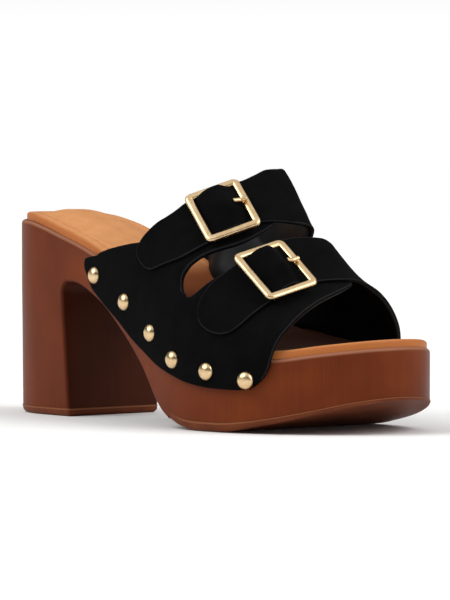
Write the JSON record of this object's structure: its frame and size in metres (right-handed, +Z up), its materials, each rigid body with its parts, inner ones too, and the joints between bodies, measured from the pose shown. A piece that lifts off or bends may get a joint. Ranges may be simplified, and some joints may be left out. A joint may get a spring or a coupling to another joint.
{
  "type": "platform mule shoe",
  "caption": "Right-foot platform mule with a block heel, open toe and back, suede upper with buckled straps over the instep, domed studs along the hem and a leather footbed.",
  "frame": {"origin": "middle of the shoe's plan box, on the floor it stands on", "axes": "+X from heel to toe, +Y to the inner side of the foot, +Z up"},
  "size_m": [0.2384, 0.1012, 0.1106],
  "materials": {
    "moulded_sole": "brown moulded unit with a waxed wood look",
    "sole_edge": "brown, satin",
    "footbed_leather": "tan smooth leather",
    "black_suede": "black suede",
    "pale_gold": "polished pale gold"
  },
  "bodies": {
    "root": {"sole_unit": "moulded_sole", "forefoot_outsole": "sole_edge", "heel_top_piece": "sole_edge", "insole": "footbed_leather", "upper": "black_suede", "stud_outer_1": "pale_gold", "stud_outer_2": "pale_gold", "stud_outer_3": "pale_gold", "stud_outer_4": "pale_gold", "stud_outer_5": "pale_gold", "stud_outer_6": "pale_gold", "stud_inner_1": "pale_gold", "stud_inner_2": "pale_gold", "stud_inner_3": "pale_gold", "stud_inner_4": "pale_gold", "stud_inner_5": "pale_gold", "stud_inner_6": "pale_gold", "rear_buckle_frame": "pale_gold", "rear_buckle_prong": "pale_gold", "front_buckle_frame": "pale_gold", "front_buckle_prong": "pale_gold"}
  },
  "joints": []
}
